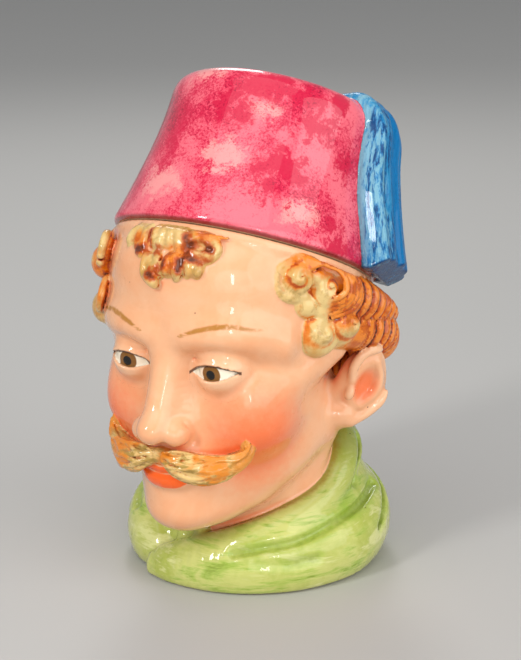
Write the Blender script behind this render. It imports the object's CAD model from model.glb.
import math
import bpy
import bmesh
import numpy as np
import openvdb
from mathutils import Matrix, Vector


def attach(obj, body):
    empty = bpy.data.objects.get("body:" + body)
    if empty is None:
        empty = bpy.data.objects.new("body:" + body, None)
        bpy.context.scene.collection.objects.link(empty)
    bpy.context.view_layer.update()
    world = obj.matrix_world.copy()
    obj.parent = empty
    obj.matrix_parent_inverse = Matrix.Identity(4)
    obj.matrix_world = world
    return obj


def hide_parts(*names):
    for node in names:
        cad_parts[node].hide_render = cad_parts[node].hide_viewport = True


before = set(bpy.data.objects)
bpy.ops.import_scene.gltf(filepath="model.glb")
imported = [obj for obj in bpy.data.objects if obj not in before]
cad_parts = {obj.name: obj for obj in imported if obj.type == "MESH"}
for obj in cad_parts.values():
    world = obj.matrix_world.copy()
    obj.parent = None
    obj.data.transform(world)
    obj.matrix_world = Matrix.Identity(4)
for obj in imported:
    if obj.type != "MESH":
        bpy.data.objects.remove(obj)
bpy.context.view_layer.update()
print("frame loaded:", ", ".join(sorted(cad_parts)))

# the figure is laid out in units of which the jar is 132 tall
figure = {"jarHeight": 0.132, "headHeight": 121.0, "headPitch": 4.0, "chin": (0, -8, 26.5),
          "rimCentre": (0, -6.5, 112.5), "rimTilt": 25.0, "rimRadius": 46.6, "footMiddle": -1.0}
unit = figure["jarHeight"] / 132
chin = np.array(figure["chin"])
rimCentre = np.array(figure["rimCentre"])
rimRadius = figure["rimRadius"]
headHeight = figure["headHeight"]
far = 1000.0  # the distance to a form that has nothing in it yet


def turnBy(x, y, z):
    x, y, z = np.radians((x, y, z))
    aboutX = np.array([[1, 0, 0], [0, math.cos(x), -math.sin(x)], [0, math.sin(x), math.cos(x)]])
    aboutY = np.array([[math.cos(y), 0, math.sin(y)], [0, 1, 0], [-math.sin(y), 0, math.cos(y)]])
    aboutZ = np.array([[math.cos(z), -math.sin(z), 0], [math.sin(z), math.cos(z), 0], [0, 0, 1]])
    return aboutZ @ aboutY @ aboutX


headTurn = turnBy(figure["headPitch"], 0, 0)
rimTurn = turnBy(-figure["rimTilt"], 0, 0)


def inHead(points):  # shares of the head's height, from the chin
    return (points - chin) @ headTurn / headHeight


def fromHead(point):
    return np.asarray(point) * headHeight @ headTurn.T + chin


def inRim(points):  # from the rim's centre, with Z along the hat's axis
    return (points - rimCentre) @ rimTurn


def rimPoint(azimuth, radius, drop):
    a = math.radians(azimuth)
    return rimCentre + rimTurn @ (radius * math.sin(a), -radius * math.cos(a), -drop)


def rimAxes(azimuth):  # columns: along the rim, outward, up the hat's axis
    a = math.radians(azimuth)
    return rimTurn @ np.array([[math.cos(a), math.sin(a), 0], [math.sin(a), -math.cos(a), 0], [0, 0, 1]])


def footPoint(azimuth, radius, height):
    a = math.radians(azimuth)
    return np.array([radius * math.sin(a), figure["footMiddle"] - radius * math.cos(a), height])


def placed(point, rows, *thick):  # a rope's rows from azimuth, radius, height or drop, and thickness
    return [(*point(*row[:3]), *row[3:], *thick) for row in rows]


def smoothUnion(a, b, blend):
    share = np.maximum(blend - np.abs(a - b), 0) / blend
    return np.minimum(a, b) - share * share * blend / 4


def smoothCut(a, b, blend):  # what is in both
    return -smoothUnion(-a, -b, blend)


def smoothLine(rows, perSpan):
    rows = np.asarray(rows, float)
    ends = np.vstack([2 * rows[0] - rows[1], rows, 2 * rows[-1] - rows[-2]])
    line = []
    for a, b, c, d in zip(ends, ends[1:], ends[2:], ends[3:]):
        for t in np.arange(perSpan) / perSpan:
            line.append(0.5 * (2 * b + (c - a) * t + (2 * a - 5 * b + 4 * c - d) * t * t
                               + (3 * b - a - 3 * c + d) * t ** 3))
    line.append(rows[-1])
    return np.array(line)


def unevenly(travelled, spacing, start):  # ribs pressed by hand are not all of a width
    return travelled + 0.16 * spacing * np.sin(travelled / 1.7 / spacing + start)


def lengthOf(rows):
    return np.sqrt(np.einsum("ij,ij->i", rows, rows))


def within(points, low, high):  # which points lie in a box
    which = np.nonzero((points[:, 0] > low[0]) & (points[:, 0] < high[0]))[0]
    for axis in (1, 2):
        values = points[which, axis]
        which = which[(values > low[axis]) & (values < high[axis])]
    return which


class Clay:
    # the distance from each point to a form built up from lumps and ropes
    span = 6  # steps of a rope that are worked out together

    def __init__(self, points, margin=6, distance=None):
        self.points = points
        self.margin = margin
        self.distance = np.full(len(points), far) if distance is None else distance.copy()

    def closeTo(self, low, high, reach):
        return within(self.points, np.subtract(low, reach), np.add(high, reach))

    def add(self, which, shape, blend, carve=False):
        old = self.distance[which]
        self.distance[which] = -smoothUnion(-old, shape, blend) if carve else smoothUnion(old, shape, blend)

    def lump(self, centre, radii, blend, axes=np.eye(3), carve=False, coil=None):  # coil: turns, depth, start
        which = self.closeTo(centre, centre, max(radii) + blend + self.margin)
        local = (self.points[which] - centre) @ axes
        radii = np.asarray(radii, float)
        near = lengthOf(local / radii)
        slope = lengthOf(local / radii ** 2)
        shape = near * (near - 1) / np.maximum(slope, 1e-6)
        if coil:  # a spiral groove, seen from in front
            turns, depth, start = coil
            out = np.hypot(local[:, 0] / radii[0], local[:, 2] / radii[2])
            angle = np.arctan2(local[:, 2], local[:, 0])
            fading = np.clip(2.4 - 2.4 * out, 0, 1)
            shape += depth * (0.3 + np.cos(2 * math.pi * turns * out + angle + start)) * fading
        self.add(which, shape, blend, carve)

    def rope(self, rows, blend, carve=False, perSpan=5, ribs=None):
        # rows: x, y, z and radius; ribs: spacing, depth and start
        line = smoothLine(rows, perSpan)
        centres, radii = line[:, :3], line[:, 3]
        lengths = np.append(0, np.cumsum(lengthOf(np.diff(centres, axis=0))))
        reach = radii.max() + blend + self.margin
        which = self.closeTo(centres.min(0), centres.max(0), reach)
        points = self.points[which]
        shape = np.full(len(points), far)
        travelled = np.zeros(len(points))
        for first in range(0, len(line) - 1, self.span):  # a stretch at a time, with the points close to it
            last = min(first + self.span, len(line) - 1)
            stretch = centres[first:last + 1]
            close = within(points, stretch.min(0) - reach, stretch.max(0) + reach)
            local, best, reached = points[close], shape[close], travelled[close]
            for i in range(first, last):
                along = centres[i + 1] - centres[i]
                away = local - centres[i]
                t = np.clip(away @ along / max(along @ along, 1e-9), 0, 1)
                gap = lengthOf(away - t[:, None] * along) - radii[i] - t * (radii[i + 1] - radii[i])
                nearer = gap < best
                best[nearer] = gap[nearer]
                reached[nearer] = (lengths[i] + t * (lengths[i + 1] - lengths[i]))[nearer]
            shape[close], travelled[close] = best, reached
        if ribs:
            spacing, depth, start = ribs
            shape += (depth * (0.55 - np.abs(np.sin(math.pi * unevenly(travelled, spacing, start) / spacing)))
                      * np.clip((travelled - start) / spacing, 0, 1))
        self.add(which, shape, blend, carve)
        return which, shape, travelled


# the head: skull, face and ears, in shares of the head's height
face = {"eyeCentre": (0.138, -0.292, 0.50), "eyeball": 0.066, "eyeWidth": 0.07, "upperLid": 0.025,
        "lowerLid": 0.018, "lid": 0.012, "earCentre": (0.362, 0.078, 0.355), "earHeight": 0.265}


def mirrored(points):
    half = points.copy()
    half[:, 0] = np.abs(half[:, 0])
    return half


def castSkull(points):
    skin = Clay(mirrored(inHead(points)), 0.05)
    skin.lump((0, 0.02, 0.64), (0.345, 0.375, 0.365), 0.02)
    skin.lump((0, -0.15, 0.71), (0.25, 0.20, 0.22), 0.10)
    skin.lump((0, -0.09, 0.37), (0.29, 0.25, 0.33), 0.08)
    skin.rope([(0.232, 0.03, 0.25, 0.07), (0.185, -0.11, 0.172, 0.07), (0.08, -0.23, 0.105, 0.075)], 0.09)
    skin.lump((0, -0.315, 0.082), (0.105, 0.098, 0.08), 0.08)
    skin.lump((0, -0.12, 0.10), (0.17, 0.22, 0.07), 0.09)
    skin.lump((0, -0.255, 0.235), (0.155, 0.155, 0.13), 0.07)
    skin.lump((0.165, -0.215, 0.345), (0.125, 0.125, 0.12), 0.07)
    skin.rope([(0, 0.10, 0.45, 0.225), (0, 0.078, 0.17, 0.232), (0, 0.062, 0.02, 0.262),
               (0, 0.06, -0.20, 0.275)], 0.045)
    skin.rope([(0.25, 0.10, 0.30, 0.05), (0.18, -0.02, 0.02, 0.05), (0.06, -0.10, -0.22, 0.04)], 0.06)
    return skin


def modelFace(skin):
    skin.rope([(0.19, -0.25, 0.42, 0.05), (0.27, -0.13, 0.455, 0.045), (0.325, 0, 0.49, 0.03)], 0.07)
    skin.rope([(0, -0.34, 0.58, 0.026), (0.09, -0.345, 0.597, 0.034),
               (0.19, -0.30, 0.60, 0.034), (0.27, -0.20, 0.56, 0.03)], 0.08)
    skin.lump((0.138, -0.415, 0.502), (0.09, 0.094, 0.06), 0.05, carve=True)
    skin.rope([(0, -0.320, 0.56, 0.045), (0, -0.335, 0.45, 0.06), (0, -0.345, 0.36, 0.075)], 0.04)
    skin.rope([(0, -0.345, 0.56, 0.028), (0, -0.385, 0.47, 0.031), (0, -0.422, 0.385, 0.036)], 0.05)
    skin.lump((0, -0.448, 0.348), (0.044, 0.047, 0.041), 0.03)
    skin.lump((0.052, -0.406, 0.332), (0.035, 0.046, 0.037), 0.022)
    skin.lump((0.027, -0.436, 0.303), (0.014, 0.024, 0.012), 0.012, carve=True)  # nostrils
    skin.rope([(0.077, -0.40, 0.365, 0.004), (0.093, -0.375, 0.33, 0.005), (0.09, -0.372, 0.30, 0.004)],
              0.012, carve=True)
    setEye(skin)
    skin.rope([(0, -0.405, 0.222, 0.019), (0.045, -0.398, 0.227, 0.019), (0.10, -0.352, 0.214, 0.008)], 0.02)
    skin.rope([(0, -0.396, 0.184, 0.027), (0.05, -0.386, 0.187, 0.023), (0.096, -0.35, 0.21, 0.008)], 0.02)
    skin.rope([(0, -0.428, 0.2065, 0.006), (0.05, -0.416, 0.2075, 0.006), (0.11, -0.358, 0.214, 0.003)],
              0.012, carve=True)


def eyeOpening(local):  # below zero between the lids; local is measured from the eye's centre
    across = local[:, 0] / face["eyeWidth"]
    slant = 0.004 * across
    upper = face["upperLid"] * (1 - across ** 2) + slant
    lower = face["lowerLid"] * (across ** 2 - 1) + slant
    return upper - local[:, 2], np.maximum(local[:, 2] - upper, lower - local[:, 2])


def setEye(skin):
    centre = np.array(face["eyeCentre"])
    which = skin.closeTo(centre, centre, 0.13)
    local = skin.points[which] - centre
    out = lengthOf(local)
    lids = smoothCut(out - face["eyeball"] - face["lid"], -eyeOpening(local)[1], 0.006)
    skin.distance[which] = smoothUnion(skin.distance[which], lids, 0.022)
    skin.distance[which] = smoothUnion(skin.distance[which], out - face["eyeball"], 0.003)
    fold = [(centre[0] + 0.068 * x, centre[1] - 0.078 * math.sqrt(1 - 0.6 * x * x - 0.16),
             centre[2] + 0.042 - 0.014 * x * x, 0.003) for x in np.linspace(-0.85, 1.0, 7)]
    skin.rope(fold, 0.008, carve=True)


def earFrame():
    up = np.array([0.27, 0.25, 0.93])
    up /= np.linalg.norm(up)
    back = np.cross(up, (0.88, -0.47, 0))
    back /= np.linalg.norm(back)
    return np.column_stack([np.cross(back, up), back, up])


def modelEar(skin):
    centre, height = np.array(face["earCentre"]), face["earHeight"]
    which = skin.closeTo(centre, centre, 0.22)
    ear = Clay((skin.points[which] - centre) @ earFrame() / height, 0.2)
    ear.lump((-0.10, 0.02, 0.02), (0.16, 0.24, 0.38), 0.08)
    ear.lump((0, 0.10, 0.08), (0.09, 0.27, 0.38), 0.05)
    ear.lump((0.10, 0.06, 0.04), (0.09, 0.16, 0.24), 0.06, carve=True)
    ear.rope([(0.02, -0.14, 0.06, 0.04), (0.04, -0.19, 0.22, 0.05), (0.05, -0.12, 0.40, 0.055),
              (0.06, 0.06, 0.48, 0.06), (0.07, 0.26, 0.42, 0.06), (0.08, 0.36, 0.22, 0.058),
              (0.07, 0.33, -0.04, 0.055), (0.04, 0.20, -0.26, 0.06), (0.01, 0.04, -0.40, 0.075)], 0.04)
    ear.rope([(0.04, 0.10, 0.32, 0.04), (0.05, 0.20, 0.14, 0.045),
              (0.04, 0.17, -0.06, 0.045), (0.02, 0.06, -0.20, 0.05)], 0.05)
    ear.lump((-0.06, -0.04, -0.36), (0.14, 0.15, 0.14), 0.06)
    ear.lump((0.05, -0.13, -0.08), (0.05, 0.05, 0.08), 0.04)  # the flap before the ear's hollow
    skin.distance[which] = smoothUnion(skin.distance[which], ear.distance * height, 0.04)


# the hair: ribbed ringlets, coiled knobs at the temples, strands along the rim and a forelock
hair = {"ribSpacing": 4.5, "ribDepth": 1.5, "ribStart": (9, 11, 0), "coil": 0.5, "rimStrands": 5,
        "crownStrands": 3, "seam": 1.0}
ringlets = (
    ((40, -15.5, 92.5, 6), (42, -7, 92.2, 7.7), (43.3, 4, 90, 8.3), (41.7, 14, 85.2, 8),
     (34.5, 25.5, 79, 7.8), (20, 34, 74.5, 7.7), (0, 37, 73, 7.7)),
    ((39.5, -23, 107.5, 6.6), (42.9, -13, 105.2, 7.6), (44.6, -1, 100.8, 7.8), (43, 11, 96, 7.5),
     (36.4, 23.3, 90.6, 7.3), (21.8, 32.8, 86, 7.2), (0, 36, 84.3, 7.2)),
    ((30, 25, 68, 6), (17, 30.5, 64, 6.8), (0, 33, 63, 6.8)),
)
# gaps between the tufts of the forelock: azimuth, radius and drop from the rim
forelockClefts = (
    ((10, 50.6, 7.8), (14, 51.2, 7.4), (18, 50.8, 8)), ((-15, 50.2, 11.2), (-6, 51.6, 10.6), (3, 51.8, 11)),
    ((1, 52.6, 12), (1, 52.8, 16), (-1, 52.8, 19.6)), ((8.6, 51.4, 1.6), (8.4, 51.6, 6), (9.4, 51.6, 11)),
    ((-9, 50.8, 1), (-8.8, 51.2, 5), (-8.4, 51, 10)), ((9, 51.6, 11), (14, 52, 12.3), (19, 51.6, 12.2)),
    ((-3.5, 52.4, 19), (-1.5, 52.8, 19.4), (1, 52.8, 19)), ((8.4, 52, 13), (8.7, 52, 16.5)))


def layRinglets(clay, side):
    for roll, start in zip(ringlets, hair["ribStart"]):
        clay.rope(roll * np.array([side, 1, 1, 1]), 0.8, perSpan=7,
                  ribs=(hair["ribSpacing"], hair["ribDepth"], start))


def layKnobs(clay, side):
    # centre, radii, turns of the coil pressed into it, where the coil starts
    knobs = (((35.8, -32.8, 114.2), (5.8, 5.6, 5.6), 1.05, 3.6), ((32.8, -34, 114), (5.2, 4.2, 5.8), 0, 0),
             ((39, -26.8, 114), (5, 4.2, 3.8), 0, 0), ((40.6, -23.4, 109.6), (5.6, 5.8, 5.7), 1.2, 0.6),
             ((36.6, -29, 104.4), (6.2, 5, 4.6), 0, 0), ((39.4, -24.6, 102), (5, 4.6, 4), 0, 0),
             ((37.8, -23.4, 94.2), (9.4, 7.4, 8.8), 1.1, 3.0), ((41.6, -14.8, 96), (8.6, 8.4, 8), 1.3, 1.4))
    for centre, radii, turns, start in knobs:
        azimuth = side * math.degrees(math.atan2(centre[0], rimCentre[1] - centre[1]))
        axes = rimAxes(azimuth) * (side, 1, 1)
        coil = (turns, hair["coil"], start) if turns else None
        clay.lump(np.array(centre) * (side, 1, 1), radii, 0.7, axes, coil=coil)


def layRimStrands(clay, side):  # squeezed between the rim and the disc, then fanning out and down behind it
    # angle round the disc, distance from its middle, spread, radius from the hat's axis, thickness
    fan = ((92, 6.2, 0.4, 48.8, 0.8), (60, 6.6, 0.75, 50.2, 0.95), (30, 7.2, 1.3, 51.2, 1.1),
           (0, 7.4, 1.75, 51.4, 1.15), (-20, 7.4, 1.8, 50, 1.1), (-42, 7.2, 1.7, 45.5, 0.7))
    for number in range(hair["rimStrands"]):
        rows = [(*rimPoint(side * (48 + 1.2 * number), 45.4, 2 + 0.6 * number), 0.6),
                (*rimPoint(side * 57, 47, 2 + 1.05 * number), 1.0)]
        for angle, inner, spread, radius, thick in fan:
            away = inner + spread * number + 0.25 * math.sin(2.2 * number + angle)
            a = math.radians(angle)
            drop = max(9.4 - away * math.sin(a), 1.7)
            rows.append((*rimPoint(side * (66 + away * math.cos(a) / 0.87), radius, drop), thick))
        clay.rope(rows, 0.3)


def layTuft(clay, azimuth, radius, drop, width, height, lean, locks):
    # locks side by side, each ending where it will
    axes = rimAxes(azimuth) @ turnBy(0, lean, 0)
    centre = rimPoint(azimuth, radius, drop)
    thick = 0.62 * width / locks
    clay.lump(centre - axes @ (0, 1.4, 0), (width / 2 + 0.5, 2.9, height / 2 + 0.4), 1.0, axes)
    bend = ((0.9, -0.9, 0.7), (0.45, 0.1, 1.0), (-0.1, 0.5, 1.05), (-0.6, 0.3, 1.0), (-1.05, -1.0, 0.6))
    for number in range(locks):
        across = ((number + 0.5) / locks - 0.5) * width
        end = height * (0.5 + 0.1 * math.sin(2.6 * number + azimuth))
        sway = 0.3 * thick * math.sin(1.9 * number + 0.7 * azimuth)
        rows = []
        for share, proud, size in bend:
            aside = across * (1 - 0.12 * share) + sway * math.sin(3 * share)
            rows.append((*(centre + axes @ (aside, proud, end * share)), thick * size))
        clay.rope(rows, 0.9)


def curled(centre, axes, wide, tall, proud, thick, start, end):  # along an oval, in radians
    return [(*(centre + axes @ (wide * math.cos(t), proud, tall * math.sin(t))), thick)
            for t in np.linspace(start, end, 9)]


def layFrontCurls(clay):
    clay.rope([(34.2, -34.4, 120.2, 1.6), (31.6, -37.4, 118, 2.1), (31.2, -39, 114.4, 2.3),
               (32.4, -38.6, 110.8, 2.4), (35.2, -35.6, 108.6, 2.4), (38, -31.4, 108, 2)], 0.9)
    axes = rimAxes(-62)
    for azimuth, radius, drop, opens in ((-46, 49, 10, -0.6), (-48.5, 45.2, 25, 2.2)):
        centre = rimPoint(azimuth, radius, drop)
        for size, thick, proud in ((1, 1.5, 0), (0.62, 1.1, 0.6)):
            clay.rope(curled(centre, axes, 4.8 * size, 5.3 * size, proud, thick, opens, opens + 5.6), 0.6)
        clay.lump(centre - axes @ (0, 1.5, 0), (4, 2.6, 4.4), 0.8, axes)
        clay.lump(rimPoint(azimuth - 9, radius - 3, drop + 3), (7, 6, 6.5), 1.2, axes)
    # azimuth, radius, drop, width, height, lean, locks
    for tuft in ((-15.4, 47.6, 6.2, 9.4, 9.6, 12, 3), (-1, 48.4, 5.4, 12, 9.8, -3, 4),
                 (6.9, 48.6, 6, 2.8, 8.6, -6, 1), (-12.3, 48.4, 10.8, 4, 4.4, 30, 2),
                 (-4.8, 49.6, 15.6, 7.4, 8, -18, 3), (-3.2, 50.2, 20.6, 3, 4.4, -34, 1),
                 (4.4, 49.8, 14.8, 6.2, 7.4, -4, 2), (12, 49.4, 14, 8, 6, 14, 3)):
        layTuft(clay, *tuft)
    centre, axes = rimPoint(13.6, 48.2, 7.6), rimAxes(13.6)
    for size, thick, proud in ((1, 1.75, 0.4), (0.66, 1.5, 1.1)):  # the lock curled round on itself
        clay.rope(curled(centre, axes, 5.6 * size, 4.3 * size, proud, thick, 2.9, -2.2), 0.7)
    clay.lump(centre - axes @ (1, 2, 0), (6, 3, 4.8), 1, axes)
    crown = ((8.5, 48.6, 1.8, 1.3, 1.1), (13, 49.8, 1.6, 1.1, 1.25), (18, 49.6, 1.7, 0.8, 1),
             (23.5, 48.4, 2.2, 0.4, 0.6))
    for number in range(hair["crownStrands"]):  # combed sideways under the rim
        clay.rope([(*rimPoint(a, r, drop + number * fan), thick) for a, r, drop, fan, thick in crown], 0.35)
    for cleft in forelockClefts:
        clay.rope(placed(rimPoint, cleft, 0.9), 0.7, carve=True)


def styleHair(points):
    clay = Clay(points)
    for side in (1, -1):
        layRinglets(clay, side)
        layKnobs(clay, side)
        layRimStrands(clay, side)
    layFrontCurls(clay)
    return clay.distance


# the moustache: a full body under combed strands
moustache = {"strands": 10, "strand": 0.85}


def layMoustache(points):
    clay = Clay(points)
    half = ((0.018, -0.418, 0.260, 0.021), (0.065, -0.414, 0.246, 0.037), (0.120, -0.394, 0.235, 0.042),
            (0.168, -0.362, 0.235, 0.037), (0.204, -0.330, 0.249, 0.028), (0.222, -0.308, 0.276, 0.020),
            (0.212, -0.308, 0.302, 0.013))
    for side in (1, -1):
        clay.rope([(*fromHead((side * x, y, z)), r * headHeight - 0.35) for x, y, z, r in half], 1)
        for number in range(moustache["strands"]):
            around = 1.35 * (2 * number / (moustache["strands"] - 1) - 1)
            rows = []
            for station, (x, y, z, r) in enumerate(half):
                swell = math.sin(math.pi * min((station + 0.6) / 6.4, 1))
                sway = 0.26 * math.sin(1.7 * station + 2.1 * number)
                aim = around * (0.5 + 0.5 * swell) + sway - 0.25 * station / 6
                reach = r + 0.0015
                aside = x + 0.008 * around * (station > 3)
                place = fromHead((side * aside, y - reach * math.cos(aim), z + reach * math.sin(aim)))
                rows.append((*place, moustache["strand"] * (0.5 + 0.5 * swell)))
            clay.rope(rows, 0.2, perSpan=6)
    clay.lump(fromHead((0, -0.414, 0.258)), (4, 2.6, 3), 1.2)
    return clay.distance


# the collar: a lapel round the neck, a standing roll over it and a neckerchief in the throat
collar = {"neckerchiefFolds": (-35, -28.5, -22, -15.5, -9, -2.5), "creaseRadius": 1.2, "creaseBlend": 2.4,
          "baseCentre": (0, figure["footMiddle"], 4), "baseRadii": (40, 40, 16)}
collarCreases = (
    ((116, 44, 27), (95, 42.5, 24.5), (73, 42.5, 22.2), (54, 42.8, 19), (36, 42.8, 17.2), (22, 43, 15)),
    ((60, 47, 12.5), (44, 47, 12), (30, 46.8, 13), (20, 46, 13.5)),
    ((150, 44, 30), (128, 45.5, 24.5), (112, 47.8, 20), (100, 47.5, 15)),
    ((-140, 44, 29), (-115, 44, 26.2), (-90, 42.5, 25), (-68, 42, 22.5), (-52, 42.5, 19)),
    ((-95, 48, 10), (-75, 48, 10.5), (-58, 47.5, 12.5)),
    ((118, 38.5, 44), (106, 37.8, 38), (100, 39.2, 31)))


def layBase(clay):  # the broad foot under the collar
    clay.lump(collar["baseCentre"], collar["baseRadii"], 3)


def foldCollar(points):
    clay = Clay(points)
    lapel = ((-32, 36.5, 6.5, 7), (-46, 36.2, 8.5, 9.5), (-65, 35, 10.5, 11.8), (-90, 35, 12, 12.5),
             (-120, 36.5, 13.5, 13), (-150, 37.5, 15, 12.8), (-180, 37, 15, 12.5), (-210, 38, 15, 12.8),
             (-240, 38, 13.5, 13), (-270, 36.5, 11.5, 12.5), (-300, 35, 10, 11.8), (-325, 35, 8.5, 10.8),
             (-348, 36.2, 6.5, 9.2), (-370, 38.5, 4.5, 7), (-384, 40.5, 3, 5))
    taller = np.array([1, 1, 0.8])
    squat = Clay(points * taller)
    squat.rope([(*(footPoint(a, r, z) * taller), thick) for a, r, z, thick in lapel], 1.5)
    clay.distance = smoothUnion(clay.distance, squat.distance, 2.5)
    layBase(clay)
    lining = ((-55, 34.5, 16, 5), (-80, 34, 20, 7), (-110, 33, 26, 8.5), (-140, 33, 29, 9), (-180, 33, 29, 9),
              (-220, 33, 29, 9), (-250, 33, 26, 8.5), (-280, 34, 20, 7), (-305, 34.5, 16, 5))
    roll = ((-36, 35, 13, 4.5), (-48, 34.5, 19, 5.2), (-64, 33, 25, 5.8), (-82, 32, 30, 6.6),
            (-100, 31.6, 35, 7.4), (-122, 31.2, 40, 8), (-150, 31, 42, 8.5), (-180, 31, 42, 8.5),
            (-210, 31, 42, 8.5), (-238, 31.5, 40.8, 8.4), (-256, 32.2, 37, 7.8), (-272, 32.4, 31, 7),
            (-290, 33.4, 26.2, 6.4), (-310, 34.5, 22.2, 6), (-332, 35, 18, 5.6), (-352, 35.5, 14, 5.2),
            (-368, 36.8, 10.5, 4.6), (-380, 39, 7, 4.2))
    for rows, blend in ((lining, 3), (roll, 2)):
        clay.rope(placed(footPoint, rows), blend)
    for crease in collarCreases:
        clay.rope(placed(footPoint, crease, collar["creaseRadius"]), collar["creaseBlend"], carve=True)
    return clay.distance


def foldNeckerchief(points):
    clay = Clay(points)
    for number, azimuth in enumerate(collar["neckerchiefFolds"]):
        out = 0.5 * (number % 2)
        clay.rope(placed(footPoint, ((azimuth - 2, 26.2 + out, 30, 2.3), (azimuth, 31 + out, 20, 2.9),
                                     (azimuth + 1, 34 + out, 9.5, 3.1))), 0.7)
    return clay.distance


# the jar: how its walls, rim and foot are made
jar = {"wall": 5.0, "floor": 6.0, "rimWall": 6.0, "rimDepth": 7.5, "lip": 1.3, "footRounding": 1.6,
       "box": ((-66, -72, -6), (66, 60, 142)), "grain": 0.75, "triangles": 192000}


def underCone(points, distance, outward, upward, drop, blend):  # what lies under a cone through the rim
    local = inRim(points)
    beyond = outward * (np.hypot(local[:, 0], local[:, 1]) - rimRadius) + upward * (local[:, 2] + drop)
    return smoothCut(distance, beyond, blend)


def jarHollow(points):
    clay = Clay(points, distance=castSkull(points).distance * headHeight)
    layBase(clay)
    above = np.maximum(jar["floor"] - points[:, 2], inRim(points)[:, 2] + jar["rimDepth"] / 2)
    return smoothCut(clay.distance + jar["wall"], above, 3)


def modelJar(points):
    skin = castSkull(points)
    modelFace(skin)
    modelEar(skin)
    local = inRim(points)
    out = np.hypot(local[:, 0], local[:, 1])
    halfDepth = jar["rimDepth"] / 2
    ring = np.maximum(out - rimRadius, np.abs(local[:, 2] + halfDepth - 2) - halfDepth - 2)
    ring = np.maximum(ring, out - rimRadius - 0.5 * (local[:, 2] + 2.5))
    bare = underCone(points, skin.distance * headHeight, 0.9, 0.35, 0, 4)
    parts = {"skin": smoothUnion(bare, ring, 2.5),
             "hair": underCone(points, styleHair(points), 0.4, 0.9, jar["lip"], 1.6),
             "moustache": layMoustache(points),
             "neckerchief": foldNeckerchief(points),
             "collar": foldCollar(points),
             "hollow": jarHollow(points),
             "mouth": np.maximum(out - rimRadius + jar["rimWall"], -local[:, 2] - jar["rimDepth"])}
    whole = parts["skin"]
    for name, seam in (("hair", hair["seam"]), ("moustache", 0.9), ("neckerchief", 1), ("collar", 1.6)):
        whole = smoothUnion(whole, parts[name], seam)
    inside = smoothUnion(parts["hollow"], parts["mouth"], 0.8)
    whole = smoothCut(smoothCut(whole, -inside, 0.8), local[:, 2], 1.6)
    parts["whole"] = smoothCut(whole, -points[:, 2], jar["footRounding"])
    return parts


# the hat: a flared fez with a moulded tassel
hat = {"radius": 48.2, "crownRadius": 37.1, "height": 58.3, "flare": 1.6, "wall": 4.5, "seat": 0.3,
       "spigotDepth": 5.0, "spigotWall": 3.8, "spigotClearance": 0.7, "topRounding": 8.5, "edgeRounding": 3.6,
       "box": ((-66, -66, 76), (70, 70, 188)), "grain": 0.8, "triangles": 150000}
tassel = {"azimuth": 103.0, "width": 26.5, "thickness": 8.4, "strands": 7}


def hatRadius(height):
    share = np.clip(1 - height / hat["height"], 0, 1.2)
    return hat["crownRadius"] + (hat["radius"] - hat["crownRadius"]) * share ** hat["flare"]


def shapeHat(points):
    local = inRim(points)
    out = np.hypot(local[:, 0], local[:, 1])
    up = local[:, 2] - hat["seat"]
    around = np.arctan2(local[:, 0], -local[:, 1])
    # cast by hand, so it isn't quite round
    dent = 0.22 * np.sin(3 * around + 0.06 * up) + 0.16 * np.sin(5 * around - 0.11 * up + 1)
    side = (out - hatRadius(up) - dent) * 0.95
    top = up - hat["height"] - 0.25 * np.sin(2 * around + 0.7) * np.clip(out / 30, 0, 1)
    outside = smoothCut(smoothCut(side, top, hat["topRounding"]), -up, hat["edgeRounding"])
    spigot = rimRadius - jar["rimWall"] - hat["spigotClearance"]
    ring = smoothCut(out - spigot, np.abs(up + hat["seat"]) - hat["spigotDepth"], 0.8)
    inner = np.interp(up, (0, hat["wall"], 2 * hat["wall"]), (spigot - hat["spigotWall"],) * 2
                      + (hatRadius(2 * hat["wall"]) - hat["wall"],))
    inner = np.where(up > 2 * hat["wall"], hatRadius(up) - hat["wall"], inner)
    hollow = smoothCut((out - inner) * 0.9, up - hat["height"] + hat["wall"], 5)
    return outside, ring, hollow


def hangTassel(points):
    height, crown, edge = hat["height"], hat["crownRadius"], hat["radius"]
    thick, width = tassel["thickness"], tassel["width"]
    axes = rimAxes(tassel["azimuth"])
    clay = Clay(points)
    stations = [(2, height + 0.2, 0.4, 0.10), (14, height - 0.2, 0.6, 0.35),
                (crown - 10, height - 0.2, 0.9, 0.72), (crown - 3, height - 1, 1, 0.94)]
    for share in (0.86, 0.68, 0.46, 0.22, -0.03):
        stations.append((hatRadius(share * height) + thick * (0.12 + 0.38 * (1 - share)), share * height, 1,
                         1.34 - 0.36 * share))
    layers = ((5, width / 6.4, 0), (tassel["strands"], width / tassel["strands"] * 0.62, thick * 0.43))
    for count, strand, proud in layers:
        for number in range(count):
            across = 2 * number / (count - 1) - 1
            rows = []
            for station, (out, up, size, spread) in enumerate(stations):
                wave = 0.75 * size * math.sin(1.9 * station + 2.3 * number)
                aside = across * spread * (width / 2 - strand) + wave
                lift = proud * size + 0.9 * math.sin(2.7 * number) * (size == 1)
                reach = math.sqrt(max(out * out - aside * aside, 0.01)) + lift
                place = rimCentre + axes @ (aside, reach, up)
                rows.append((*place, strand * size * spread ** 0.5))
            clay.rope(rows, 1.6)
    clay.lump(rimCentre + rimTurn @ (0, 0, height), (5.2, 5.2, 2.8), 1.5, rimTurn)
    local = (points - rimCentre) @ axes
    slanted = 0.6 * (local[:, 1] - edge - 4.5) - 0.8 * (local[:, 2] - 3)
    ends = np.maximum(slanted, hat["seat"] + 0.3 - local[:, 2])
    return smoothCut(clay.distance, ends, 0.8), ends


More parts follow.
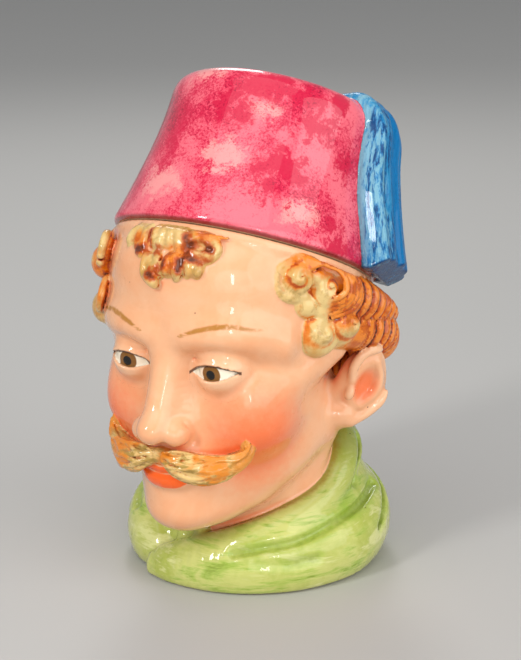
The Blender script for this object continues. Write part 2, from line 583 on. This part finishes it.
def modelHat(points):
    outside, ring, hollow = shapeHat(points)
    hanging, ends = hangTassel(points)
    shell = smoothUnion(outside, ring, 0.6)
    whole = smoothUnion(shell, hanging, 0.8)
    return {"felt": outside, "tassel": hanging, "tasselEnd": ends, "hollow": -hollow,
            "whole": smoothCut(whole, -hollow, 0.8)}


# casting: a form's surface is meshed from a grid, thinned, and given the form's own normals
casting = {"slice": 400000, "rough": 6, "half": 2, "near": 1.3, "band": 3, "feel": 0.2, "mend": 0.15}


def wholeAt(form, points):  # worked out a slice at a time
    slices = np.array_split(points, len(points) // casting["slice"] + 1)
    return np.concatenate([form(part)["whole"] for part in slices])


def castSurface(form, low, high, grain):  # first a rough grid, then finer ones near the surface
    rough, half, band = casting["rough"], casting["half"], casting["band"] * grain
    count = np.ceil(np.subtract(high, low) / (grain * rough)).astype(int)
    centres = [low[i] + (np.arange(count[i]) + 0.5) * grain * rough for i in range(3)]
    blocks = wholeAt(form, np.stack(np.meshgrid(*centres, indexing="ij"), -1).reshape(-1, 3)).reshape(count)
    for size, finer in ((rough, half), (half, 1)):
        ratio = size // finer
        near = np.abs(blocks) < grain * size * casting["near"]
        for axis in range(3):
            blocks, near = np.repeat(blocks, ratio, axis), np.repeat(near, ratio, axis)
        where = np.nonzero(near)
        blocks[where] = wholeAt(form, low + (np.stack(where, -1) + 0.5) * grain * finer)
    grid = openvdb.FloatGrid(band)
    grid.copyFromArray(np.clip(blocks, -band, band).astype(np.float32))
    corners, quads = grid.convertToQuads(0.0)
    return low + (corners + 0.5) * grain, quads


def keepLargest(mesh):  # what the grid leaves loose inside is dropped
    body = bmesh.new()
    body.from_mesh(mesh)
    left, islands = set(body.verts), []
    while left:
        island = {left.pop()}
        edge = set(island)
        while edge:
            edge = {e.other_vert(v) for v in edge for e in v.link_edges} - island
            island |= edge
        left -= island
        islands.append(island)
    largest = max(islands, key=len)
    bmesh.ops.delete(body, geom=[v for v in body.verts if v not in largest], context="VERTS")
    body.to_mesh(mesh)
    body.free()


def slopeOf(form, points):  # the form's own normals, felt from four sides
    slope = np.zeros_like(points)
    for side in np.array(((1, 1, 1), (1, -1, -1), (-1, 1, -1), (-1, -1, 1))):
        slope += wholeAt(form, points + side * casting["feel"])[:, None] * side
    return slope / np.maximum(lengthOf(slope), 1e-9)[:, None]


def castPiece(name, form, size):
    corners, quads = castSurface(form, *np.array(size["box"], float), size["grain"])
    mesh = bpy.data.meshes.new(name)
    mesh.from_pydata(corners, [], quads.tolist())
    keepLargest(mesh)
    rough = bpy.data.objects.new(name + "_rough", mesh)
    bpy.context.scene.collection.objects.link(rough)
    thinner = rough.modifiers.new("Thinner", "DECIMATE")
    thinner.ratio = min(1.0, size["triangles"] / (2 * len(mesh.polygons)))
    thinner.use_collapse_triangulate = True
    thinned = bpy.data.meshes.new_from_object(rough.evaluated_get(bpy.context.evaluated_depsgraph_get()))
    bpy.data.objects.remove(rough)
    thinned.name = name
    points = np.empty(len(thinned.vertices) * 3, np.float32)
    thinned.vertices.foreach_get("co", points)
    points = points.reshape(-1, 3).astype(float)
    normals = slopeOf(form, points)
    mend = np.clip(wholeAt(form, points), -casting["mend"], casting["mend"])
    points -= normals * mend[:, None]  # back onto the form
    thinned.vertices.foreach_set("co", (points * unit).astype(np.float32).ravel())
    thinned.shade_smooth()
    thinned.update()
    thinned.normals_split_custom_set_from_vertices(normals.tolist())
    piece = bpy.data.objects.new(name, thinned)
    bpy.context.scene.collection.objects.link(piece)
    print(f"{name}: {len(quads)} cells thinned to {len(thinned.polygons)} triangles")
    return piece, points, normals


def keepFields(piece, fields):  # numbers for each vertex, which the glaze reads by name
    for name, values in fields.items():
        kept = piece.data.attributes.new(name, "FLOAT", "POINT")
        kept.data.foreach_set("value", values.astype(np.float32))


def poolDepth(form, points, normals, reach):  # above zero where glaze runs into a crevice, below on a ridge
    return -(wholeAt(form, points + normals * reach) + wholeAt(form, points - normals * reach)) / reach


# where the painter's brush went, as distances in figure units
brush = {"irisRadius": 3.5, "pupilRadius": 1.7, "cheek": (0.215, -0.26, 0.30), "blushRadius": 24.0,
         "tips": 0.17}
nowhere = 60.0  # a field's value where its stroke isn't near
strokes = {
    "brow": ((0.062, 0.609, 0.003), (0.12, 0.631, 0.006), (0.19, 0.640, 0.0055), (0.262, 0.619, 0.001)),
    "lips": ((0, 0.184, 0.022), (0.045, 0.188, 0.019), (0.098, 0.2115, 0.003)),
    "upperLip": ((0, 0.217, 0.010), (0.035, 0.222, 0.011), (0.1, 0.213, 0.003))}


def flatRope(points, rows):  # a stroke seen from the front, in shares of the head
    flat = Clay(points * (1, 0, 1), 0.3)
    flat.rope([(x, 0, z, r) for x, z, r in rows], 0.01, perSpan=6)
    return np.where(points[:, 1] < -0.12, flat.distance * headHeight, nowhere)


def rustDistance(points):  # how far from the hair that is washed with rust
    rust = Clay(points, 14)
    temple = ((46, 45, 2, 1.5), (58, 47.5, 3.4, 3), (69, 49.5, 3, 2.6), (77, 51.5, 6, 4.5), (82, 52, 10, 7),
              (80, 51, 15, 6.5))
    for side in (1, -1):
        rust.rope(placed(rimPoint, temple * np.array([side, 1, 1, 1])), 1)
        rust.lump(np.array([43, -9, 96]) * (side, 1, 1), (6, 8, 6.5), 2)
        for first, roll in zip((1, 1, 0), ringlets):
            rust.rope([(x * side, y, z, thick + 1) for x, y, z, thick in roll[first:]], 1)
    spots = ((15, 50, 1, 3.6), (21, 49, 2, 2.4), (3, 53, 11.5, 2.6), (8, 52, 11, 2), (-10, 52, 10, 2.4),
             (-14.5, 51, 8, 1.8), (-50, 49, 8, 4.5), (-45, 48, 10.5, 3.4), (-52, 46, 18, 5),
             (-46, 45, 25, 3.6), (4.6, 52, 14.5, 2.6), (-2, 54, 19, 1.2))
    for azimuth, radius, drop, size in spots:
        rust.lump(rimPoint(azimuth, radius, drop), (size, size, size), 1)
    return rust.distance


def ribTravel(points):  # how far along its ringlet each point lies, and nothing elsewhere
    travel, best = np.full(len(points), -9.0), np.full(len(points), 2.5)
    for side in (1, -1):
        for roll, start in zip(ringlets, hair["ribStart"]):
            which, shape, travelled = Clay(points).rope(roll * np.array([side, 1, 1, 1]), 0.8, perSpan=7)
            nearer = (shape < best[which]) & (travelled > start)
            travel[which[nearer]] = unevenly(travelled[nearer], hair["ribSpacing"], start)
            best[which[nearer]] = shape[nearer]
    return travel


def faceFields(points):  # eyes, brows, lips, blushes, and how near the moustache's tips
    local = mirrored(inHead(points))
    fields = {name: flatRope(local, rows) for name, rows in strokes.items()}
    eye = local - face["eyeCentre"]
    near = (lengthOf(eye) < 0.1) & (eye[:, 1] < -0.02)
    onLid = near & (np.abs(eye[:, 0]) < face["eyeWidth"] * 1.1)
    fromUpper, opening = eyeOpening(eye)
    gaze = np.array([0, -0.985, -0.02]) * face["eyeball"]
    fields["eyeOpening"] = np.where(near, opening * headHeight, nowhere)
    fields["upperLid"] = np.where(onLid, -fromUpper * headHeight, nowhere)
    fields["iris"] = np.where(near, lengthOf(eye - gaze) * headHeight, nowhere)
    cheek = (local - brush["cheek"]) / (1, 1, 1.1)
    fields["blush"] = lengthOf(cheek) * headHeight / brush["blushRadius"]
    hollow = (local - face["earCentre"]) @ earFrame() / face["earHeight"] - (0.08, 0.03, 0.03)
    fields["earBlush"] = lengthOf(hollow / (0.3, 0.17, 0.22))
    fields["tips"] = (local[:, 0] - brush["tips"]) / 0.05
    return fields


def paintJar(piece, points, normals):
    parts = modelJar(points)
    cloth = np.minimum(parts["collar"], parts["neckerchief"])
    clefts, creases = Clay(points, 8), Clay(points, 12)
    for cleft in forelockClefts:
        clefts.rope(placed(rimPoint, cleft, 0.3), 0.1)
    for crease in collarCreases:
        creases.rope(placed(footPoint, crease, 0.2), 0.1)
    keepFields(piece, faceFields(points))
    keepFields(piece, {
        "onHair": parts["skin"] - parts["hair"], "onMoustache": parts["skin"] - parts["moustache"],
        "onCloth": np.minimum(parts["skin"], parts["hair"]) - cloth,
        "inside": np.minimum(np.abs(parts["hollow"]), np.abs(parts["mouth"])),
        "pool": poolDepth(modelJar, points, normals, 0.9), "basin": poolDepth(modelJar, points, normals, 2.6),
        "rust": rustDistance(points), "ribs": ribTravel(points), "cleft": clefts.distance,
        "crease": creases.distance})
    print("paint laid out for", piece.name)


# where the brush was full of crimson and where it was nearly dry: azimuth, height, width, how tall
hatStrokes = {
    "blots": ((8.7, 52, 3, 6), (4.5, 45, 4, 5), (8.6, 41.5, 6, 3.5), (27, 52, 13, 4), (46, 51, 7, 4),
              (54, 43, 6, 3.6), (40, 25, 6.5, 5), (35, 20, 5.5, 5), (76, 33, 4.5, 3), (64, 53, 2.2, 3),
              (74, 3.5, 6, 3), (66, 11, 2.4, 2.6), (-44, 40, 6, 5), (-70, 20, 8, 5), (-100, 44, 7, 6),
              (-128, 14, 7, 6), (-160, 36, 8, 5), (170, 12, 6, 6), (150, 46, 7, 4), (128, 18, 5, 7)),
    "dry": ((-13, 56, 7, 4), (26, 44, 5.5, 2.4), (11, 25, 6, 5), (-18, 14, 8, 4), (52, 12, 7, 3),
            (-60, 52, 8, 4), (-88, 10, 9, 5), (-140, 50, 8, 5), (-175, 20, 8, 6), (160, 30, 6, 5))}


def strokeDistance(points, strokes):
    patches = Clay(points, 45)
    for azimuth, height, width, tall in strokes:
        patches.lump(rimPoint(azimuth, hatRadius(height), -height), (width, 8, tall), 1, rimAxes(azimuth))
    return np.minimum(patches.distance, nowhere)


def paintHat(piece, points, normals):
    parts = modelHat(points)
    local = inRim(points)
    keepFields(piece, {
        "onTassel": parts["felt"] - parts["tassel"], "tasselEnd": parts["tasselEnd"],
        "inside": np.abs(parts["hollow"]), "pool": poolDepth(modelHat, points, normals, 0.9),
        "height": local[:, 2], "across": ((points - rimCentre) @ rimAxes(tassel["azimuth"]))[:, 0],
        "proud": np.hypot(local[:, 0], local[:, 1]) - hatRadius(local[:, 2])})
    keepFields(piece, {name: strokeDistance(points, rows) for name, rows in hatStrokes.items()})
    print("paint laid out for", piece.name)


def pick(sockets, key):  # by number, identifier or name
    return sockets[key] if isinstance(key, int) else next(s for s in sockets if key in (s.identifier, s.name))


class Wire:
    # one output socket in a material; sums on it add Math nodes, and node() adds any other

    def __init__(self, tree, socket=None):
        self.tree = tree
        self.socket = socket

    def node(self, kind, settings, sockets, output=0):
        made = self.tree.nodes.new("ShaderNode" + kind)
        for key, value in settings.items():
            setattr(made, key, value)
        for key, value in sockets.items():
            if isinstance(value, Wire):
                self.tree.links.new(value.socket, pick(made.inputs, key))
            else:
                pick(made.inputs, key).default_value = value
        return Wire(self.tree, pick(made.outputs, output))

    def maths(self, operation, first, second=0):
        return self.node("Math", {"operation": operation}, {0: first, 1: second})

    def __add__(self, other):
        return self.maths("ADD", self, other)

    def __radd__(self, other):
        return self.maths("ADD", other, self)

    def __sub__(self, other):
        return self.maths("SUBTRACT", self, other)

    def __rsub__(self, other):
        return self.maths("SUBTRACT", other, self)

    def __mul__(self, other):
        return self.maths("MULTIPLY", self, other)

    def __rmul__(self, other):
        return self.maths("MULTIPLY", other, self)

    def field(self, name):
        return self.node("Attribute", {"attribute_name": name}, {}, "Fac")

    def place(self, stretch=(1, 1, 1), turn=(0, 0, 0)):  # the surface's own place, turned and then stretched
        own = self.node("TexCoord", {}, {}, "Object")
        turned = self.node("Mapping", {}, {"Vector": own, "Rotation": turn})
        return self.node("VectorMath", {"operation": "MULTIPLY"}, {0: turned, 1: stretch})

    def noise(self, where, scale, detail=3.0, roughness=0.55, distortion=0.0):
        return self.node("TexNoise", {}, {"Vector": where, "Scale": scale, "Detail": detail,
                                          "Roughness": roughness, "Distortion": distortion}, "Fac")

    def between(self, value, low, high):
        # eases from 0 at low to 1 at high, which may be the lower number; value is a field's name or a wire
        value = self.field(value) if isinstance(value, str) else value
        return self.node("MapRange", {"interpolation_type": "SMOOTHSTEP", "clamp": True},
                         {"Value": value, "From Min": low, "From Max": high})

    def blend(self, share, first, second):
        return self.node("Mix", {"data_type": "RGBA"},
                         {"Factor_Float": share, "A_Color": first, "B_Color": second}, "Result_Color")

    def washes(self, inks, first, laid):
        # each wash is an ink and its share, or an ink, a value, the two ends it eases between and a strength
        colour = inks[first]
        for name, value, *rest in laid:
            share = self.between(value, *rest[:2]) if rest else value
            colour = self.blend(share * rest[2] if rest[2:] else share, colour, inks[name])
        return colour


def ink(code):  # a colour from its web code, as light
    shares = [int(code[i:i + 2], 16) / 255 for i in (0, 2, 4)]
    return (*[s / 12.92 if s <= 0.04045 else ((s + 0.055) / 1.055) ** 2.4 for s in shares], 1.0)


def inks(**codes):
    return {name: ink(code) for name, code in codes.items()}


def newShader(name, settings):
    material = bpy.data.materials.new(name)
    material.use_nodes = True
    shader = material.node_tree.nodes["Principled BSDF"]
    for socket, value in settings.items():
        shader.inputs[socket].default_value = value
    return material, shader


# the clear glaze over both pieces, and the clay where it shows
glaze = {"IOR": 1.5, "Specular IOR Level": 0.1, "Coat Roughness": 0.04, "Coat IOR": 1.38}
bareClay = inks(biscuit="D8C4A2", lining="E4D5B6", speck="4B2410")


def newGlaze(name):
    material, shader = newShader(name, glaze)
    wire = Wire(material.node_tree)
    own = wire.place()
    wobble = wire.noise(own, 420.0, 3.0, 0.6) - 0.5  # keeps the edge of every stroke uneven
    return material, shader, wire, own, wobble


def finishGlaze(wire, shader, colour, roughness, coat, height, depth):
    bump = wire.node("Bump", {}, {"Height": height, "Distance": depth, "Strength": 1.0}, "Normal")
    made = {"Base Color": colour, "Roughness": roughness, "Coat Weight": coat, "Normal": bump}
    for name, output in made.items():
        wire.tree.links.new(output.socket, shader.inputs[name])


# colours of the painted jar
skinInks = inks(flesh="EBB288", warm="EAA678", blush="F06A34", ear="F0703A", pale="F4C49C", brow="A86E14",
                lips="F8641E", lipLine="A2300A", lash="4A2412", iris="7E5220", pupil="0C0604",
                eyeWhite="F2E4CC")
hairInks = inks(cream="DDBE7E", ochre="D09A50", olive="A88442", amber="E47A10", rust="AE4004", umber="5E2404")
bristleInks = inks(cream="DEB874", olive="AC8A44", amber="DC8428", rust="B85012")
clothInks = inks(pale="C6C874", leaf="A9B24E", olive="78862A", fresh="8DAE38", ochre="8F7420", cream="D6D592")


def paintSkin(wire, wobble, cloudy):
    mouthLine = wire.between("pool", 0.35, 0.9) * wire.between("lips", 2.0, 1.2)
    fromLid = wire.field("upperLid")
    lash = wire.between(fromLid + wobble * 0.3, -0.75, -0.3) * wire.between(fromLid, 0.75, 0.3)
    fromGaze = wire.field("iris") + wobble * 0.2
    eyeball = wire.washes(skinInks, "eyeWhite", (
        ("iris", fromGaze, brush["irisRadius"] + 0.2, brush["irisRadius"] - 0.2),
        ("pupil", fromGaze, brush["pupilRadius"] + 0.15, brush["pupilRadius"] - 0.15)))
    flesh = wire.washes(skinInks, "flesh", (
        ("warm", cloudy, 0.35, 0.7),
        ("blush", "basin", 0.15, 0.9, 0.7),
        ("pale", "basin", -0.1, -0.6, 0.5),
        ("blush", wire.field("blush") + wobble * 0.25, 1.0, 0.2, 0.9),
        ("ear", "earBlush", 1.15, 0.5, 0.85),
        ("brow", wire.field("brow") + wobble * 0.9, 0.45, -0.35, 0.85),
        ("lips", wire.field("lips") + wobble * 0.5, 0.35, -0.25),
        ("lips", wire.field("upperLip") + wobble * 0.5, 0.35, -0.25),
        ("lipLine", mouthLine)))
    flesh = wire.blend(wire.between("eyeOpening", 0.12, -0.12), flesh, eyeball)
    return wire.blend(lash * 0.9, flesh, skinInks["lash"])


def paintHair(wire, wobble, cloudy):
    rust, pool, cleft, ribs = (wire.field(name) for name in ("rust", "pool", "cleft", "ribs"))
    mottle = wire.noise(wire.place(), 190.0, 4.0, 0.65, 0.5)
    washed = wire.between(rust + wobble * 5, 3.2, -0.5)
    deeper = wire.between(mottle, 0.47, 0.58) * wire.between(rust + wobble * 5, 2.0, -1.5)
    runs = wire.maths("MAXIMUM", wire.between(pool + mottle * 0.6 + 0.1 * washed, 0.40, 0.72),
                      wire.between(cleft + wobble * 2.4, 2.3, 1.1))
    gaps = wire.maths("MAXIMUM", wire.between(pool + mottle * 0.6, 0.72, 1.15),
                      wire.between(cleft + wobble * 1.6, 1.3, 0.5))
    ribHeight = wire.maths("SINE", (ribs + wobble * 1.6) * (math.pi / hair["ribSpacing"]))
    ribHeight = wire.maths("ABSOLUTE", ribHeight)
    onRibs = wire.between(ribs, -1.0, 1.0)
    beside = wire.between(ribHeight + mottle * 0.5, 0.92, 0.62) * onRibs
    grooves = wire.between(ribHeight + mottle * 0.4, 0.56, 0.34) * onRibs
    return wire.washes(hairInks, "cream", (
        ("ochre", cloudy, 0.4, 0.62),
        ("olive", mottle, 0.5, 0.62, 0.55),
        ("amber", washed * 0.9),
        ("rust", deeper * 0.7),
        ("amber", wire.field("basin") + mottle, 0.54, 0.95, 0.85),
        ("rust", runs * 0.9),
        ("rust", beside * 0.85),
        ("umber", wire.maths("MAXIMUM", gaps, grooves))))


def paintBristles(wire, wobble):
    streaks = wire.noise(wire.place((0.45, 0.6, 1.5)), 330.0, 4.0, 0.65, 0.5)
    patches = wire.noise(wire.place(), 110.0, 2.0)
    return wire.washes(bristleInks, "olive", (
        ("cream", streaks, 0.42, 0.54),
        ("amber", patches + streaks * 0.5, 0.72, 0.86),
        ("amber", "tips", 0.35, 1.0, 0.8),
        ("rust", wire.field("pool") + wobble * 0.5, 0.1, 0.7, 0.7)))


def paintCloth(wire, wobble, cloudy):
    crease = wire.field("crease")
    sweeps = wire.noise(wire.place((0.6, 0.6, 2.2)), 44.0, 6.0, 0.62, 1.0)
    bristleMarks = wire.noise(wire.place((0.3, 0.3, 2.6)), 420.0, 3.0, 0.6, 0.5)
    height = wire.node("SeparateXYZ", {}, {"Vector": wire.place()}, "Z")
    folds = wire.maths("MAXIMUM", wire.between(wire.field("pool") + wobble * 0.3, 0.08, 0.5),
                       wire.between(crease + wobble * 2, 1.9, 0.3) * 0.8)
    return wire.washes(clothInks, "leaf", (
        ("pale", cloudy * 0.5 + sweeps * 0.5, 0.40, 0.58),
        ("fresh", sweeps + bristleMarks * 0.3, 0.66, 0.80, 0.7),
        ("cream", sweeps - bristleMarks * 0.2, 0.37, 0.26, 0.8),
        ("olive", sweeps + bristleMarks * 0.5, 0.86, 0.98, 0.6),
        ("olive", height + cloudy * 0.02, 0.036, 0.062, 0.7),
        ("fresh", crease + cloudy * 8, 8.6, 3.6, 0.6),
        ("olive", folds * 0.75),
        ("ochre", wire.field("onCloth") + wobble * 3, 3.6, 0.8, 0.8)))


def makePaintedGlaze():
    material, shader, wire, own, wobble = newGlaze("paintedGlaze")
    cloudy = wire.noise(own, 55.0, 4.0, 0.6, 0.4)
    onHair = wire.between(wire.field("onHair") + wobble * 0.8, -0.25, 0.25)
    onMoustache = wire.between(wire.field("onMoustache") + wobble * 0.8, -0.25, 0.25)
    onCloth = wire.between(wire.field("onCloth") + wobble * 0.8, -0.3, 0.3)
    colour = wire.blend(onHair, paintSkin(wire, wobble, cloudy), paintHair(wire, wobble, cloudy))
    colour = wire.blend(onMoustache, colour, paintBristles(wire, wobble))
    colour = wire.blend(onCloth, colour, paintCloth(wire, wobble, cloudy))
    colour = wire.blend(wire.between("inside", 0.5, 0.2), colour, bareClay["lining"])
    specks = wire.node("TexVoronoi", {}, {"Vector": own, "Scale": 90.0, "Randomness": 1.0}, "Distance")
    colour = wire.blend(wire.between(specks, 0.035, 0.02) * 0.7, colour, bareClay["speck"])
    height = wire.node("SeparateXYZ", {}, {"Vector": own}, "Z")
    dry = wire.between(height, 0.00035, 0.0001)  # the underside has no glaze
    colour = wire.blend(dry, colour, bareClay["biscuit"])
    roughness = wire.noise(own, 160.0, 3.0) * 0.12 + 0.22 + dry * 0.5
    onLocks = wire.maths("MAXIMUM", onMoustache, onHair * 0.6)
    combed = wire.noise(wire.place((0.5, 0.6, 1.6)), 700.0, 2.0) * onLocks
    ripple = wire.noise(own, 85.0, 2.0) + wire.noise(own, 1500.0, 2.0) * 0.04 + combed * 0.7
    finishGlaze(wire, shader, colour, roughness, 1 - dry, ripple, 0.00035)
    return material


# colours of the hat and its tassel
feltInks = inks(pink="E23E5C", rose="EE6C7A", crimson="C8063A", deep="86062A", blush="F2A09A", line="6E2216")
tasselInks = inks(blue="0076B4", sky="2C8CBE", pale="84BACC", navy="043A72")


def paintFelt(wire, own, wobble):
    cloud = wire.noise(own, 58.0, 5.0, 0.6, 0.25)
    grain = wire.noise(own, 1150.0, 5.0, 0.8)
    mottle = wire.noise(own, 230.0, 5.0, 0.7, 0.3)
    ragged = (cloud - 0.5) * 14 + (mottle - 0.5) * 34 + (grain - 0.5) * 14
    full = wire.field("blots") + ragged
    scant = wire.field("dry") + ragged * 0.7
    stipple = wire.between(grain * 0.7 + cloud * 0.55, 0.59, 0.71) * wire.between(scant, -4.0, 2.0)
    specks = wire.between(grain + cloud * 0.6, 0.87, 0.97) * wire.between(full, 16.0, 4.0)
    return wire.washes(feltInks, "rose", (
        ("pink", cloud + grain * 0.3, 0.56, 0.78),
        ("blush", scant, 3.0, -3.0, 0.75),
        ("crimson", stipple * 0.85),
        ("crimson", full, 2.0, -1.5, 0.9),
        ("deep", specks * 0.85),
        ("line", wire.field("height") + wobble * 0.8, 2.2, 1.0, 0.8)))


def paintTassel(wire, wobble):  # strokes that run down the strands
    across, height, proud = (wire.field(name) for name in ("across", "height", "proud"))
    hung = wire.node("CombineXYZ", {}, {"X": across, "Y": proud, "Z": height * 0.2})
    looser = wire.node("CombineXYZ", {}, {"X": across, "Y": proud, "Z": height * 0.5})
    along = wire.noise(hung, 0.75, 5.0, 0.7, 0.3)
    patches = wire.noise(looser, 0.34, 5.0, 0.7, 0.3)
    across = wire.maths("ABSOLUTE", across)
    shown = wire.between(across, 3.5, 7.0) * wire.between(proud + patches * 5, 4.4, 6.2)
    blots = wire.between(height + patches * 60, 44.0, 30.0) * wire.between(patches, 0.42, 0.5)
    grooves = wire.between(wire.field("pool") + wobble * 0.3, 0.15, 0.5) * wire.between(proud, 2.0, 3.5)
    cutEdge = wire.between(wire.field("tasselEnd") + wobble * 0.4, -0.8, -0.2)
    strands = wire.washes(tasselInks, "blue", (
        ("sky", across + patches * 8, 10.0, 14.0),
        ("pale", across + patches * 14, 17.5, 20.5, 0.85),
        ("blue", wire.between(along, 0.45, 0.52) * shown * 0.8),
        ("navy", wire.between(along, 0.52, 0.59) * shown * 0.9),
        ("blue", blots * 0.8),
        ("navy", grooves * 0.8),
        ("navy", cutEdge * wire.between(patches, 0.3, 0.5) * 0.85)))
    return strands, along


def makeCrimsonGlaze():
    material, shader, wire, own, wobble = newGlaze("crimsonGlaze")
    onTassel = wire.between(wire.field("onTassel") + wobble * 0.9, -0.25, 0.25)
    strands, along = paintTassel(wire, wobble)
    colour = wire.blend(onTassel, paintFelt(wire, own, wobble), strands)
    lining = wire.maths("MAXIMUM", wire.between("inside", 0.5, 0.2), wire.between("height", 0.6, 0.35))
    colour = wire.blend(lining, colour, bareClay["lining"])
    dry = wire.between("inside", 0.1, 0.0) * wire.between("height", -4.4, -4.9)  # the spigot's wiped edge
    roughness = wire.noise(own, 160.0, 3.0) * 0.12 + 0.22 + dry * 0.4
    ripple = wire.noise(own, 85.0, 2.0) + wire.noise(own, 420.0, 3.0) * 0.22 + along * onTassel * 2.2
    coat = (1 - dry) * (1 - onTassel * 0.45)  # the glaze ran thinner over the tassel
    finishGlaze(wire, shader, colour, roughness, coat, ripple, 0.0006)
    return material


def makePiece(name, node, form, size, paint, makeGlaze):
    piece, points, normals = castPiece(name, form, size)
    paint(piece, points, normals)
    piece.data.materials.append(makeGlaze())
    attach(piece, "root")
    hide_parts(node)


makePiece("painted_head_jar", "head_jar", modelJar, jar, paintJar, makePaintedGlaze)
makePiece("painted_fez_lid", "fez_lid", modelHat, hat, paintHat, makeCrimsonGlaze)


# the studio: a wide pale floor, soft lights, and the camera of the photograph
studio = {"floor": "B6B4B0", "floorRadius": 30.0, "floorRoughness": 0.6, "aim": (0, 0, 0.09),
          "world": 0.44, "worldColour": (0.8, 0.82, 0.85, 1)}
# name, azimuth, elevation and distance, width, height, watts, shape
lamps = (("key", (-14, 30, 1.1), 0.16, 0.32, 5.0, "RECTANGLE"),
         ("window", (40, 12, 1.2), 0.07, 0.24, 1.0, "RECTANGLE"),
         ("side", (84, 18, 2.5), 2.4, 2.4, 34.0, "ELLIPSE"),
         ("top", (20, 64, 2.2), 2.4, 2.4, 18.0, "ELLIPSE"),
         ("front", (42, 6, 2.2), 1.6, 1.6, 12.0, "ELLIPSE"),
         ("back", (215, 40, 1.2), 0.3, 0.5, 3.0, "RECTANGLE"))
camera = {"azimuth": 31.17, "distance": 0.5823, "height": 0.2439, "pitch": 15.38, "yaw": 0.23, "lens": 91.39}


def aroundFigure(azimuth, elevation, distance):
    a, e = math.radians(azimuth), math.radians(elevation)
    away = Vector((math.sin(a) * math.cos(e), -math.cos(a) * math.cos(e), math.sin(e)))
    return Vector(studio["aim"]) + distance * away


def layFloor():
    bpy.ops.mesh.primitive_circle_add(vertices=64, radius=studio["floorRadius"], fill_type="NGON")
    floor = bpy.context.object
    floor.name = "floor"
    paper = {"Base Color": ink(studio["floor"]), "Roughness": studio["floorRoughness"]}
    floor.data.materials.append(newShader("floorPaper", paper)[0])


def lightStudio():
    world = bpy.data.worlds.new("studio")
    world.use_nodes = True
    sky = world.node_tree.nodes["Background"]
    sky.inputs["Color"].default_value = studio["worldColour"]
    sky.inputs["Strength"].default_value = studio["world"]
    bpy.context.scene.world = world
    for name, (azimuth, elevation, distance), width, tall, power, shape in lamps:
        light = bpy.data.lights.new(name, "AREA")
        light.shape = shape
        light.size, light.size_y, light.energy = width, tall, power
        lamp = bpy.data.objects.new(name, light)
        lamp.location = aroundFigure(azimuth, elevation, distance)
        lamp.rotation_euler = (lamp.location - Vector(studio["aim"])).to_track_quat("Z", "Y").to_euler()
        bpy.context.scene.collection.objects.link(lamp)


def setCamera():
    around, pitch, yaw = (math.radians(camera[key]) for key in ("azimuth", "pitch", "yaw"))
    ahead = Vector((math.sin(yaw) * math.cos(pitch), math.cos(yaw) * math.cos(pitch), -math.sin(pitch)))
    back = Vector((0, -camera["distance"], camera["height"]))
    for aim in (ahead, back):
        aim.xy = (aim.x * math.cos(around) - aim.y * math.sin(around),
                  aim.x * math.sin(around) + aim.y * math.cos(around))
    lens = bpy.data.cameras.new("camera")
    lens.lens = camera["lens"]
    lens.sensor_width = 36
    eye = bpy.data.objects.new("camera", lens)
    eye.location = back
    eye.rotation_euler = ahead.to_track_quat("-Z", "Y").to_euler()
    bpy.context.scene.collection.objects.link(eye)
    bpy.context.scene.camera = eye
    bpy.context.scene.view_settings.view_transform = "Standard"  # the inks show as they are mixed


layFloor()
lightStudio()
setCamera()
print("studio set")
